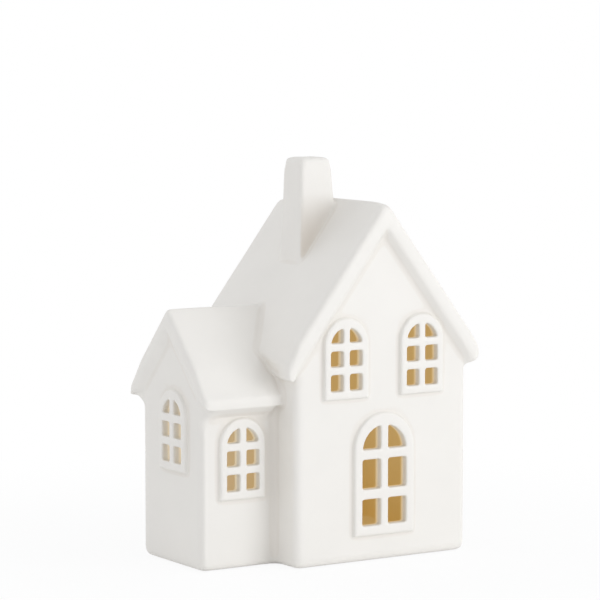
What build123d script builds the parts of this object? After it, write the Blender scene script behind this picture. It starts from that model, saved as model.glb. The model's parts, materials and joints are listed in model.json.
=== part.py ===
from build123d import *
import math
import os

# A white ceramic house for a tealight. Lengths are in millimetres and angles in degrees.
# X runs across the front, Y from the front to the back, Z up from the ground.
# While it is built, the main block's front wall stands at y = 0 with its middle at x = 0.

# Main block, with its gables to the front and the back
main_width = 87.2
main_depth = 76.2
main_wall_height = 80.6  # ground to where the eave's soffit meets the side wall
main_roof_angle = 52.55
main_eave_overhang = 5.45
main_verge_overhang = 3.4
main_fascia_height = 6.0
main_verge_face = 6.4  # the verge board's outer face, square to the slope
main_verge_root = 9.5  # the same where its soffit meets the gable wall

# Annex on the left side, with its gable to the left
annex_length = 36.0  # along X, outside the main block
annex_setback = 16.0  # main front wall to annex front wall
annex_rear_setback = 10.4  # annex rear wall to main rear wall
annex_wall_height = 68.2
annex_roof_angle = 46.45
annex_eave_overhang = 6.95
annex_verge_overhang = 2.4
annex_fascia_height = 6.5
annex_verge_face = 5.2
annex_verge_root = 9.8

# Clay thicknesses and rounding
wall = 3.5
floor_thickness = 4.0
roof_shell = 4.5
corner_radius = 3.5  # upright outer corners
inner_corner_radius = 2.5  # upright corners between the main block and the annex
foot_radius = 2.8  # outer edge at the ground
ridge_round_share = 0.25  # of the verge face
eave_round_share = 0.48  # of the fascia height
soffit_round_share = 0.2  # of the fascia height
verge_round_share = 0.34  # of the verge face, along its upper edge

# Small windows: a raised arched surround with an upright bar and two cross bars
surround_proud = 1.8
surround_round_share = 0.5  # of how far the surround stands proud
window_width = 22.0
window_height = 34.2
window_side_rim = 3.1
window_sill_rim = 3.5
window_head_rim = 4.0
window_upright = 3.1
window_cross = 3.3
window_bottom_pane = 7.1
window_middle_pane = 6.6

# Tall window in the place of the door
door_width = 30.4
door_height = 52.0
door_side_rim = 4.1
door_sill_rim = 4.3
door_head_rim = 5.0
door_upright = 3.7
door_cross = 4.1
door_bottom_pane = 11.4
door_middle_pane = 12.8

# Where the windows are
upper_window_side_gap = 13.4  # surround to the corner of the main block
upper_window_drop = 10.4  # main wall height to the surround's foot
door_sill_height = 11.3
annex_window_gap = 4.5  # annex wall height to the surround's top
annex_window_offset = 1.3  # from the middle of the annex front toward the main block
gable_window_rise = 10.7  # gable window above the annex front window
gable_window_offset = 3.0  # from the middle of the annex gable toward the front

# Chimney on the left slope
chimney_width = 15.4  # along X, at the top
chimney_depth = 14.6  # along Y, at the top
chimney_offset = 12.2  # ridge to the chimney's middle
chimney_setback = 32.7  # front wall to the chimney's front face
chimney_rise = 17.3  # above the ridge
chimney_draft_angle = 2.0
chimney_ridge_draft_angle = 4.0  # of the side next to the ridge
chimney_edge_radius = 1.6
chimney_top_share = 0.9  # of the edge radius
flue_wall = 3.4
vent_diameter = 3.6

# Arched opening in the rear wall, where the tealight goes in
opening_width = 45.0
opening_height = 28.0  # above the floor

# Tealight
cup_diameter = 38.0  # across the rolled rim
cup_foot_diameter = 36.4
cup_height = 15.5
cup_sheet = 0.4
cup_rim_radius = 0.6
wax_below_rim = 2.2
wick_diameter = 1.8
wick_above_wax = 6.5
wick_round_share = 0.4  # of the wick's diameter
sustainer_diameter = 13.0
sustainer_sheet = 0.4
sustainer_neck_height = 5.0
sustainer_neck_sheet = 0.5
tealight_rear_gap = 1.0  # cup to the plane of the rear wall's inner face
withdrawn_gap = 3.0  # cup to the rear verge once it is out
overrun = 5.0  # how far a cutter runs past what it cuts
near_share = 0.04  # of a fascia or a wall: how close an edge or a corner counts as being there


class Saddle:
    # Levels and half spans of a saddle roof. Its ridge runs along Y over the middle of the walls,
    # and the gable wall's outer face is at y = 0.
    def __init__(self, width, height, angle, eave, verge, fascia, face, root):
        self.half = width / 2
        self.height = height
        self.rise = math.tan(math.radians(angle))
        self.lean = math.cos(math.radians(angle))
        self.verge = verge
        self.fascia = fascia
        self.face = face
        self.root = root
        self.reach = self.half + eave
        self.ridge = height + root / self.lean + self.half * self.rise
        self.eave_top = self.ridge - self.reach * self.rise
        self.eave_foot = self.eave_top - fascia
        self.soffit = (self.eave_foot - height) / eave

    def under(self, thickness, x=0.0):
        # Level of the plane that lies thickness below the slope, at x from the ridge
        return self.ridge - thickness / self.lean - abs(x) * self.rise

    def outline(self, thickness):
        # Section of the roof where its boards are this thick
        level = self.under(thickness) - self.eave_foot + self.soffit * self.reach
        x = level / (self.rise + self.soffit)
        foot = self.under(thickness, x)
        return [
            (0, self.ridge),
            (self.reach, self.eave_top),
            (self.reach, self.eave_foot),
            (x, foot),
            (0, self.under(thickness)),
            (-x, foot),
            (-self.reach, self.eave_foot),
            (-self.reach, self.eave_top),
        ]

    def gable(self):
        # Outline of a gable wall, up to the underside of the roof
        return [
            (-self.half, 0),
            (self.half, 0),
            (self.half, self.height),
            (0, self.under(self.root)),
            (-self.half, self.height),
        ]

    def hollow(self, shell):
        # Section of the room between the side walls, up to the inside of the roof
        inside = self.half - wall
        return [
            (-inside, 0),
            (inside, 0),
            (inside, self.under(shell, inside)),
            (0, self.under(shell)),
            (-inside, self.under(shell, inside)),
        ]

    def side(self, web=0.0):
        # Section of the side wall at +X, with room for the web of clay in an inner corner
        inside = self.half - wall
        points = [(inside, 0), (self.half + web, 0)]
        if web:
            points.append((self.half + web, self.height + self.soffit * web))
        return points + [(self.half, self.height), (inside, self.under(self.root, inside))]


annex_width = main_depth - annex_setback - annex_rear_setback
main = Saddle(main_width, main_wall_height, main_roof_angle, main_eave_overhang,
              main_verge_overhang, main_fascia_height, main_verge_face, main_verge_root)
annex = Saddle(annex_width, annex_wall_height, annex_roof_angle, annex_eave_overhang,
               annex_verge_overhang, annex_fascia_height, annex_verge_face, annex_verge_root)
annex_left = -main.half - annex_length
annex_middle = annex_setback + annex.half
annex_run = annex_length + main.half  # annex gable to the main ridge
chimney_top = main.ridge + chimney_rise
tealight_y = main_depth - wall - tealight_rear_gap - cup_diameter / 2
tealight_travel = main_depth + main_verge_overhang + withdrawn_gap + cup_diameter / 2 - tealight_y


def across(y):
    # Plane across the house at y, whose own axes are X and Z
    return Plane(origin=(0, y, 0), x_dir=(1, 0, 0), z_dir=(0, -1, 0))


def slab(points, y0, y1):
    # Prism between y0 and y1 over an outline in X and Z
    face = make_face(across(y0) * Polyline(*points, close=True))
    return extrude(face, y1 - y0, dir=(0, 1, 0))


def block(x0, x1, y0, y1, z0, z1):
    return Pos((x0 + x1) / 2, (y0 + y1) / 2, (z0 + z1) / 2) * Box(x1 - x0, y1 - y0, z1 - z0)


def mirrored(points):
    return [(-x, z) for x, z in points]


def to_annex(part):
    # From a frame with the ridge along Y to the annex's place, its gable to the left
    return Pos(annex_left, annex_middle, 0) * Rot(0, 0, -90) * part


def verge_end(roof):
    # The overhanging end, whose soffit slants in from the board's face to the wall
    face = make_face(across(-roof.verge) * Polyline(*roof.outline(roof.face), close=True))
    root = make_face(across(0) * Polyline(*roof.outline(roof.root), close=True))
    return loft([face, root], ruled=True)


def rounded(shape, chosen, radius):
    edges = shape.edges().filter_by(chosen)
    return fillet(edges, radius) if edges else shape


def rounded_roof(roof, shape, ends):
    # Softens the ridge, the eaves and the upper edges of the verge boards
    near = near_share * roof.fascia

    def along(edge, level):
        straight = abs(edge.tangent_at(0).Y) > math.cos(math.radians(1))
        return straight and abs(edge.center().Z - level) < near

    def eave(edge, level):
        return along(edge, level) and abs(edge.center().X) > roof.half

    def verge(edge, y):
        middle = edge.center()
        return abs(middle.Y - y) < near and abs(middle.Z - roof.under(0, middle.X)) < near

    shape = rounded(shape, lambda e: along(e, roof.ridge), ridge_round_share * roof.face)
    shape = rounded(shape, lambda e: eave(e, roof.eave_top), eave_round_share * roof.fascia)
    for y in ends:
        shape = rounded(shape, lambda e: verge(e, y), verge_round_share * roof.face)
    return rounded(shape, lambda e: eave(e, roof.eave_foot), soffit_round_share * roof.fascia)


def main_saddle():
    # The main roof before it is hollowed
    back = Pos(0, main_depth, 0) * mirror(verge_end(main), Plane.XZ)
    shape = verge_end(main) + slab(main.outline(main.root), 0, main_depth) + back
    return rounded_roof(main, shape, [-main.verge, main_depth + main.verge])


def annex_saddle():
    # The annex roof in its own frame, running on into the main block
    shape = verge_end(annex) + slab(annex.outline(annex.root), 0, annex_run)
    return rounded_roof(annex, shape, [-annex.verge])


def flue():
    # Upright shaft inside the chimney, down through the main roof
    x0 = -chimney_offset - chimney_width / 2 + flue_wall
    x1 = -chimney_offset + chimney_width / 2 - flue_wall
    y0 = chimney_setback + flue_wall
    y1 = chimney_setback + chimney_depth - flue_wall
    return block(x0, x1, y0, y1, main.height, chimney_top - flue_wall)


def make_chimney(saddle):
    # Tapered stack, cut to the slope that it stands on
    base = main.under(main.root, chimney_offset + chimney_width)
    drop = chimney_top - base
    side = drop * math.tan(math.radians(chimney_draft_angle))
    ridge_side = drop * math.tan(math.radians(chimney_ridge_draft_angle))
    middle = chimney_setback + chimney_depth / 2
    top = Pos(-chimney_offset, middle, chimney_top) * Rectangle(chimney_width, chimney_depth)
    foot_middle = -chimney_offset + (ridge_side - side) / 2
    foot_width = chimney_width + side + ridge_side
    foot = Pos(foot_middle, middle, base) * Rectangle(foot_width, chimney_depth + 2 * side)
    stack = loft([foot, top], ruled=True)
    upright = stack.edges().filter_by(lambda e: abs(e.center().Z - (base + chimney_top) / 2) < side)
    stack = fillet(upright, chimney_edge_radius)
    top_edges = stack.faces().sort_by(Axis.Z)[-1].edges()
    stack = fillet(top_edges, chimney_top_share * chimney_edge_radius)
    vent_length = flue_wall + overrun
    vent = Pos(-chimney_offset, middle, chimney_top) * Cylinder(vent_diameter / 2, 2 * vent_length)
    under_roof = slab(main.gable(), 0, main_depth)
    return stack - saddle - under_roof - flue() - vent


def make_main_roof(saddle):
    room = slab(main.hollow(roof_shell), wall, main_depth - wall)
    return saddle - room - flue()


def make_annex_roof(saddle):
    room = to_annex(slab(annex.hollow(roof_shell), wall, annex_run))
    block_inside = slab(main.gable(), 0, main_depth)
    return to_annex(annex_saddle()) - saddle - block_inside - room


def make_body():
    # Both blocks as one solid with rounded corners and foot, which the walls are cut from
    rear = main_depth - annex_rear_setback
    outer = [(-main.half, 0), (main.half, 0), (main.half, main_depth), (-main.half, main_depth)]
    corners = outer + [
        (-main.half, rear),
        (annex_left, rear),
        (annex_left, annex_setback),
        (-main.half, annex_setback),
    ]
    plan = make_face(Polyline(*corners, close=True))
    inner = [v for v in plan.vertices() if abs(v.X + main.half) < wall and annex_setback <= v.Y <= rear]
    plan = fillet(inner, inner_corner_radius)
    near = near_share * wall
    sharp = [v for v in plan.vertices() if min(math.dist((v.X, v.Y), c) for c in corners) < near]
    plan = fillet(sharp, corner_radius)
    body = extrude(plan, main.ridge)
    return fillet(body.faces().sort_by(Axis.Z)[0].edges(), foot_radius)


def arch(width, height):
    # Flat foot at z = 0 and a half-round head, on the plane y = 0
    spring = height - width / 2
    sides = Polyline((-width / 2, spring), (-width / 2, 0), (width / 2, 0), (width / 2, spring))
    head = ThreePointArc((width / 2, spring), (0, height), (-width / 2, spring))
    return make_face(across(0) * (sides + head))


class Window:
    # A window in its own frame: the wall's outer face is y = 0 and the surround's foot is z = 0
    def __init__(self, width, height, side_rim, sill_rim, head_rim, upright, cross, bottom, middle):
        self.width = width
        self.height = height
        self.sill = sill_rim
        self.clear_width = width - 2 * side_rim
        self.clear_height = height - sill_rim - head_rim
        self.upright = upright
        self.bars = [(sill_rim + bottom, cross), (sill_rim + bottom + cross + middle, cross)]

    def hole(self, y0, y1):
        # The arched hole in the wall
        face = Pos(0, y0, self.sill) * arch(self.clear_width, self.clear_height)
        return extrude(face, y1 - y0, dir=(0, 1, 0))

    def make(self):
        surround = extrude(arch(self.width, self.height), surround_proud, dir=(0, -1, 0))
        front = surround.faces().sort_by(Axis.Y)[0].edges()
        surround = fillet(front, surround_round_share * surround_proud)
        panes = self.hole(-surround_proud - overrun, wall + overrun)
        y0, y1 = -surround_proud, wall
        panes -= block(-self.upright / 2, self.upright / 2, y0, y1, 0, self.height)
        for foot, cross in self.bars:
            panes -= block(-self.width / 2, self.width / 2, y0, y1, foot, foot + cross)
        return surround + self.hole(0, wall) - panes


small = Window(window_width, window_height, window_side_rim, window_sill_rim, window_head_rim,
               window_upright, window_cross, window_bottom_pane, window_middle_pane)
tall = Window(door_width, door_height, door_side_rim, door_sill_rim, door_head_rim,
              door_upright, door_cross, door_bottom_pane, door_middle_pane)
upper_sill = main.height - upper_window_drop
upper_window_x = main.half - upper_window_side_gap - window_width / 2
annex_sill = annex.height - annex_window_gap - window_height
front_left_place = Pos(-upper_window_x, 0, upper_sill)
front_right_place = Pos(upper_window_x, 0, upper_sill)
door_place = Pos(0, 0, door_sill_height)
annex_front_x = annex_left + annex_length / 2 + annex_window_offset
gable_window_y = annex_middle - gable_window_offset
gable_sill = annex_sill + gable_window_rise
annex_front_place = Pos(annex_front_x, annex_setback, annex_sill)
annex_gable_place = Pos(annex_left, gable_window_y, gable_sill) * Rot(0, 0, -90)


def make_walls():
    # Every wall is a flat slab of clay, cut to the rounded body and the underside of its roof
    body = make_body()
    rear = main_depth - wall
    annex_rear = main_depth - annex_rear_setback
    side = annex.side(inner_corner_radius)
    opening = Pos(0, rear - overrun, floor_thickness) * arch(opening_width, opening_height)
    walls = {
        "front_wall": slab(main.gable(), 0, wall),
        "rear_wall": slab(main.gable(), rear, main_depth),
        "right_wall": slab(main.side(), wall, rear),
        "left_front_wall": slab(mirrored(main.side()), wall, annex_setback + wall),
        "left_rear_wall": slab(mirrored(main.side()), annex_rear - wall, rear),
        "annex_gable_wall": to_annex(slab(annex.gable(), 0, wall)),
        "annex_front_wall": to_annex(slab(side, wall, annex_length)),
        "annex_rear_wall": to_annex(slab(mirrored(side), wall, annex_length)),
    }
    walls = {name: part & body for name, part in walls.items()}
    for place, window in ((front_left_place, small), (front_right_place, small), (door_place, tall)):
        walls["front_wall"] -= place * window.hole(-overrun, wall + overrun)
    walls["annex_front_wall"] -= annex_front_place * small.hole(-overrun, wall + overrun)
    walls["annex_gable_wall"] -= annex_gable_place * small.hole(-overrun, wall + overrun)
    walls["rear_wall"] -= extrude(opening, wall + 2 * overrun, dir=(0, 1, 0))
    return walls


def make_windows():
    return {
        "front_left_window": front_left_place * small.make(),
        "front_right_window": front_right_place * small.make(),
        "door_window": door_place * tall.make(),
        "annex_front_window": annex_front_place * small.make(),
        "annex_gable_window": annex_gable_place * small.make(),
    }


def make_floor():
    # One plate between the feet of all the walls
    inside = main.half - wall
    y0, y1 = annex_setback + wall, main_depth - annex_rear_setback - wall
    plate = block(-inside, inside, wall, main_depth - wall, 0, floor_thickness)
    return plate + block(annex_left + wall, -inside, y0, y1, 0, floor_thickness)


def turned(points):
    # Solid of revolution about Z from an outline of radii and levels
    return revolve(make_face(across(0) * Polyline(*points, close=True)), Axis.Z)


def make_tealight():
    # A wax candle in its aluminium cup, standing at the origin
    foot = cup_foot_diameter / 2
    top = cup_diameter / 2 - cup_rim_radius
    rim = cup_height - cup_rim_radius
    wax_level = cup_height - wax_below_rim
    lean = (top - foot) / rim
    inner = foot - cup_sheet + lean * cup_sheet
    at_wax = foot - cup_sheet + lean * wax_level
    outside = [(0, 0), (foot, 0), (top, rim)]
    inside = [(top - cup_sheet, rim), (inner, cup_sheet), (0, cup_sheet)]
    cup = turned(outside + inside)
    cup += Pos(0, 0, rim) * Torus(top, cup_rim_radius)
    wax = turned([(0, cup_sheet), (inner, cup_sheet), (at_wax, wax_level), (0, wax_level)])
    wick_length = wax_level + wick_above_wax - cup_sheet
    wick = Pos(0, 0, cup_sheet + wick_length / 2) * Cylinder(wick_diameter / 2, wick_length)
    wick = fillet(wick.edges().sort_by(Axis.Z)[-1], wick_round_share * wick_diameter)
    neck = wick_diameter / 2 + sustainer_neck_sheet
    disc = cup_sheet + sustainer_sheet
    neck_top = cup_sheet + sustainer_neck_height
    edge = sustainer_diameter / 2
    disc_outline = [(0, cup_sheet), (edge, cup_sheet), (edge, disc)]
    neck_outline = [(neck, disc), (neck, neck_top), (0, neck_top)]
    sustainer = turned(disc_outline + neck_outline) - wick
    return {
        "tealight_cup": cup,
        "tealight_wax": wax - sustainer - wick,
        "tealight_wick": wick,
        "wick_sustainer": sustainer,
    }


saddle = main_saddle()
parts = {
    "floor": make_floor(),
    **make_walls(),
    "main_roof": make_main_roof(saddle),
    "annex_roof": make_annex_roof(saddle),
    "chimney": make_chimney(saddle),
    **make_windows(),
}
for name, part in make_tealight().items():
    parts[name] = Pos(0, tealight_y, floor_thickness) * part

# The finished part stands on the ground with the middle of its whole outline over the origin
boxes = [part.bounding_box() for part in parts.values()]
middle_x = (min(b.min.X for b in boxes) + max(b.max.X for b in boxes)) / 2
middle_y = (min(b.min.Y for b in boxes) + max(b.max.Y for b in boxes)) / 2
os.makedirs("parts", exist_ok=True)
for name, part in parts.items():
    export_step(Pos(-middle_x, -middle_y, 0) * part, f"parts/{name}.step")
print("moved by", -middle_x, -middle_y, "tealight travel", tealight_travel)
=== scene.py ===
import json
import math

import bmesh
import bpy
import numpy as np
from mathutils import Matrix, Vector, noise
from mathutils.bvhtree import BVHTree

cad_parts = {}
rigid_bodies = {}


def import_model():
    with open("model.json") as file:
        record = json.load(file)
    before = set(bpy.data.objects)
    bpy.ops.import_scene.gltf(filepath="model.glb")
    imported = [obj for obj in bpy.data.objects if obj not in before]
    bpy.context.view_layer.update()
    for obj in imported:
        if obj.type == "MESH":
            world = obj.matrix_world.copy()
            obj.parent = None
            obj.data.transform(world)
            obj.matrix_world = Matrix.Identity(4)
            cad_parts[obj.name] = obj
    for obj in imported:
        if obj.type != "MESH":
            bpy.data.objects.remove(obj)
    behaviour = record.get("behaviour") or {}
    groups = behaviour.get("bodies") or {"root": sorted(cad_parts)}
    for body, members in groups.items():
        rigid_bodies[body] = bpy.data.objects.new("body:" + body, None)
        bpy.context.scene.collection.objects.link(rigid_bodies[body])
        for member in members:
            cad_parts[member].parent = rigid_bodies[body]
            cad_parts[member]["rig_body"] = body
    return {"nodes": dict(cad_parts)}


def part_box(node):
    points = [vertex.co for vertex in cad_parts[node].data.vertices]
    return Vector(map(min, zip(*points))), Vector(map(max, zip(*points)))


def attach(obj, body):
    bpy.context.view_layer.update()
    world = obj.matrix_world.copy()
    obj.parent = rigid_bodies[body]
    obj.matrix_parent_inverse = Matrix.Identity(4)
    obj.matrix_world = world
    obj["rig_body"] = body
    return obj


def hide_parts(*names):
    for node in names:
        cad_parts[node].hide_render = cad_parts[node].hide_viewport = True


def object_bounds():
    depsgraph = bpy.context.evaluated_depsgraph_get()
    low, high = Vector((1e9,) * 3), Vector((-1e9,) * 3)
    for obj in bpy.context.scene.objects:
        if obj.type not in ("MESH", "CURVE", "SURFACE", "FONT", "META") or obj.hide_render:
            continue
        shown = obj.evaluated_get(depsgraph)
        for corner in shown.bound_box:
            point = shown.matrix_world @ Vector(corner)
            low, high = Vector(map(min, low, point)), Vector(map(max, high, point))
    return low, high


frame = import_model()
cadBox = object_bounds()
print("frame loaded:", len(frame["nodes"]), "nodes")

mm = 0.001
wallThickness = 3.5          # in millimetres
frontLow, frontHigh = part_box("front_wall")
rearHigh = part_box("rear_wall")[1]
gableLow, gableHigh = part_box("annex_gable_wall")

# The two blocks, in millimetres. "across" is measured from the ridge, "along" follows the ridge
# from the outer face of the gable, "level" is the height above the table.
mainBlock = {
    "ridgeAt": (frontLow.x + frontHigh.x) / 2 / mm,
    "start": frontLow.y / mm,        # outer face of the front gable
    "end": rearHigh.y / mm,          # outer face of the rear gable
    "half": (frontHigh.x - frontLow.x) / 2 / mm,
    "wallHeight": 80.6,
    "angle": 52.55,
    "root": 9.5,                     # roof thickness where the soffit meets the gable
    "reach": 49.05,                  # ridge to the outer face of the eave
    "eaveFoot": 83.1,
    "overhang": 3.4,
}
mainBlock["length"] = mainBlock["end"] - mainBlock["start"]
annexBlock = {
    "ridgeAt": (gableLow.y + gableHigh.y) / 2 / mm,
    "start": gableLow.x / mm,        # outer face of the annex gable
    "end": mainBlock["ridgeAt"],
    "half": (gableHigh.y - gableLow.y) / 2 / mm,
    "wallHeight": 68.2,
    "angle": 46.45,
    "root": 9.8,
    "reach": 31.85,
    "eaveFoot": 68.6,
}
for block in (mainBlock, annexBlock):
    block["rise"] = math.tan(math.radians(block["angle"]))
    block["lean"] = math.cos(math.radians(block["angle"]))
    block["ridge"] = (block["wallHeight"] + block["root"] / block["lean"]
                      + block["half"] * block["rise"])


def underSlope(block, across, depth):
    # Level of the plane that lies this deep below the roof's slope
    return block["ridge"] - depth / block["lean"] - abs(across) * block["rise"]


def mainPlace(across, along, level):
    return Vector((mainBlock["ridgeAt"] + across, mainBlock["start"] + along, level)) * mm


def annexPlace(across, along, level):
    return Vector((annexBlock["start"] + along, annexBlock["ridgeAt"] + across, level)) * mm


def wire(tree, value, socket):
    # Links an output to a socket, or writes a plain value in it
    if isinstance(value, bpy.types.NodeSocket):
        tree.links.new(value, socket)
    else:
        socket.default_value = value


def calc(tree, operation, *values):
    node = tree.nodes.new("ShaderNodeMath")
    node.operation = operation
    for value, socket in zip(values, node.inputs):
        wire(tree, value, socket)
    return node.outputs[0]


def remap(tree, value, fromLow, fromHigh, toLow=0.0, toHigh=1.0, smooth=False):
    node = tree.nodes.new("ShaderNodeMapRange")
    node.interpolation_type = "SMOOTHSTEP" if smooth else "LINEAR"
    for item, socket in zip((value, fromLow, fromHigh, toLow, toHigh), node.inputs):
        wire(tree, item, socket)
    return node.outputs[0]


def blendColour(tree, factor, first, second, kind="MIX"):
    node = tree.nodes.new("ShaderNodeMix")
    node.data_type = "RGBA"
    node.blend_type = kind
    # the colour sockets of this node come after those for numbers and vectors
    wire(tree, factor, node.inputs[0])
    wire(tree, first, node.inputs[6])
    wire(tree, second, node.inputs[7])
    return node.outputs[2]


def splitVector(tree, vector):
    node = tree.nodes.new("ShaderNodeSeparateXYZ")
    wire(tree, vector, node.inputs[0])
    return node.outputs


def grainNoise(tree, vector, scale, detail, roughness):
    node = tree.nodes.new("ShaderNodeTexNoise")
    for name, value in (("Vector", vector), ("Scale", scale), ("Detail", detail),
                        ("Roughness", roughness)):
        wire(tree, value, node.inputs[name])
    return node.outputs["Fac"]


def spreadGrain(tree, grain, toLow, toHigh):
    # The noise keeps mostly to the middle of its range
    return remap(tree, grain, 0.3, 0.7, toLow, toHigh)


def newGroup(name, inputs, outputs):
    # A node group with named sockets; returns its tree and the sockets of its two end nodes
    tree = bpy.data.node_groups.new(name, "ShaderNodeTree")
    for socketName, kind, value in inputs:
        socket = tree.interface.new_socket(socketName, in_out="INPUT",
                                           socket_type="NodeSocket" + kind)
        if value is not None:
            socket.default_value = value
    for socketName, kind in outputs:
        tree.interface.new_socket(socketName, in_out="OUTPUT", socket_type="NodeSocket" + kind)
    given = tree.nodes.new("NodeGroupInput").outputs
    return tree, given, tree.nodes.new("NodeGroupOutput").inputs


def useGroup(tree, group, **values):
    node = tree.nodes.new("ShaderNodeGroup")
    node.node_tree = group
    for name, value in values.items():
        wire(tree, value, node.inputs[name])
    return node.outputs


def newMaterial(name, fixed):
    # A Principled material with its uniform values on the shader's own sockets
    made = bpy.data.materials.new(name)
    made.use_nodes = True
    shader = made.node_tree.nodes["Principled BSDF"]
    for key, value in fixed.items():
        shader.inputs[key].default_value = value
    return made, made.node_tree, shader


def objectPoint(tree):
    return tree.nodes.new("ShaderNodeTexCoord").outputs["Object"]


def bumpFrom(tree, height, distance):
    node = tree.nodes.new("ShaderNodeBump")
    node.inputs["Distance"].default_value = distance
    node.inputs["Strength"].default_value = 1.0
    wire(tree, height, node.inputs["Height"])
    return node.outputs["Normal"]


def seenDirectly(tree):
    # 1 for rays that start at the camera, also by way of a mirror or glass
    path = tree.nodes.new("ShaderNodeLightPath")
    return calc(tree, "MAXIMUM", path.outputs["Is Camera Ray"],
                calc(tree, "MAXIMUM", path.outputs["Is Glossy Ray"],
                     path.outputs["Is Transmission Ray"]))


insideMask = {
    "cornerRadius": wallThickness * mm,
    "fadeStart": 0.4 * mm,
    "fadeEnd": 3.0 * mm,
    "ridgeWidth": 9 * mm,    # the ridge is rounded off over this width,
    "ridgeDepth": 4 * mm,    # so its own surface lies up to this much deeper
}


def insideGroup():
    # A mask that is 0 on the outer faces of both blocks and 1 inside them
    tree, given, result = newGroup(
        "insideTheHouse",
        [("Vector", "Vector", None), ("Corner Radius", "Float", insideMask["cornerRadius"]),
         ("Fade Start", "Float", insideMask["fadeStart"]),
         ("Fade End", "Float", insideMask["fadeEnd"])],
        [("Mask", "Float")])
    radius = given["Corner Radius"]
    x, y, z = splitVector(tree, given["Vector"])
    depths = []
    for block, across, along in ((mainBlock, x, y), (annexBlock, y, x)):
        off = calc(tree, "ABSOLUTE", calc(tree, "SUBTRACT", across, block["ridgeAt"] * mm))
        side = calc(tree, "SUBTRACT", block["half"] * mm, off)
        start = calc(tree, "SUBTRACT", along, block["start"] * mm)
        end = calc(tree, "SUBTRACT", block["end"] * mm, along)
        level = calc(tree, "SUBTRACT", block["ridge"] * mm, z)
        fall = calc(tree, "MULTIPLY", off, block["rise"])
        slope = calc(tree, "MULTIPLY", calc(tree, "SUBTRACT", level, fall), block["lean"])
        rounding = remap(tree, off, 0.0, insideMask["ridgeWidth"], insideMask["ridgeDepth"], 0.0)
        slope = calc(tree, "SUBTRACT", slope, rounding)
        short = [calc(tree, "MAXIMUM", calc(tree, "SUBTRACT", radius, distance), 0.0)
                 for distance in (side, start, end, slope, z)]
        square = [calc(tree, "MULTIPLY", item, item) for item in short]
        total = square[0]
        for item in square[1:]:
            total = calc(tree, "ADD", total, item)
        depths.append(calc(tree, "SUBTRACT", radius, calc(tree, "SQRT", total)))
    depth = calc(tree, "MAXIMUM", *depths)
    mask = remap(tree, depth, given["Fade Start"], given["Fade End"], smooth=True)
    wire(tree, mask, result["Mask"])
    return tree


glaze = {
    "fixed": {"Roughness": 0.5, "IOR": 1.45, "Emission Strength": 1.0},
    "colour": (0.84, 0.813, 0.77, 1),
    # painted shade: hollows and creases take this darker, warmer colour, standing in for the shade
    # that falls there
    "shadeColour": (0.66, 0.58, 0.49, 1),
    "shadeStrength": 0.9,
    "shadeFrom": 0.2,         # hollows less deep than this stay white
    "mottle": 0.02,
    "scale": 45.0,
    "cloud": (3.0, 0.55),    # detail and roughness of the two grains
    "fine": (2.0, 0.6),
    "fineTimes": 14.0,       # how much finer the second grain is
    "cloudHeight": 0.7,      # shares of the two grains in the bump
    "fineHeight": 0.3,
    "roughness": (0.46, 0.58),
    "insideRoughness": 0.25,  # the unglazed inside is this much rougher
    # painted light: the inside's golden base colour stands in for the warm light of a tealight
    # inside
    "insideLitColour": (0.62, 0.40, 0.16, 1),
    # painted light: the inside glows, from low to high, standing in for the tealight's warm light
    "glowLow": (0.152, 0.118, 0.036, 1),
    "glowHigh": (0.186, 0.168, 0.080, 1),
    "glowFrom": 6 * mm,
    "glowTo": 48 * mm,
    "floorFacing": (0.3, 0.9),  # faces that look up glow like the higher parts, to this share
    "floorShare": 0.75,
    "annexGlow": (0.035, 0.1, 0.16, 1),
    "annexGlowFrom": 22 * mm,
    "annexGlowTo": -45 * mm,
    # painted light on the reveals of the openings
    "rimGlow": (0.13, 0.11, 0.08, 1),
    "bump": 0.06 * mm,
}


def glazeGroup():
    # Matt white glaze: soft mottling, and painted shade, a darker and warmer colour, in hollows
    # and creases
    tree, given, result = newGroup(
        "glazeAndShade",
        [("Vector", "Vector", None), ("Colour", "Color", glaze["colour"]),
         ("Shade Colour", "Color", glaze["shadeColour"]), ("Hollow", "Float", 0.0),
         ("Shade Strength", "Float", glaze["shadeStrength"]), ("Mottle", "Float", glaze["mottle"]),
         ("Scale", "Float", glaze["scale"])],
        [("Color", "Color"), ("Roughness", "Float"), ("Height", "Float")])
    cloud = grainNoise(tree, given["Vector"], given["Scale"], *glaze["cloud"])
    fineScale = calc(tree, "MULTIPLY", given["Scale"], glaze["fineTimes"])
    fine = grainNoise(tree, given["Vector"], fineScale, *glaze["fine"])
    shaded = tree.nodes.new("ShaderNodeVectorMath")
    shaded.operation = "SCALE"
    darkest = calc(tree, "SUBTRACT", 1.0, given["Mottle"])
    wire(tree, given["Colour"], shaded.inputs[0])
    wire(tree, spreadGrain(tree, cloud, darkest, 1.0), shaded.inputs["Scale"])
    # painted shade, stronger the deeper the hollow
    paintedShade = calc(tree, "MULTIPLY", remap(tree, given["Hollow"], glaze["shadeFrom"], 1.0),
                    given["Shade Strength"])
    wire(tree, blendColour(tree, paintedShade, shaded.outputs[0], given["Shade Colour"]),
         result["Color"])
    wire(tree, spreadGrain(tree, fine, *glaze["roughness"]), result["Roughness"])
    wire(tree, calc(tree, "ADD", calc(tree, "MULTIPLY", cloud, glaze["cloudHeight"]),
                    calc(tree, "MULTIPLY", fine, glaze["fineHeight"])), result["Height"])
    return tree


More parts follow.
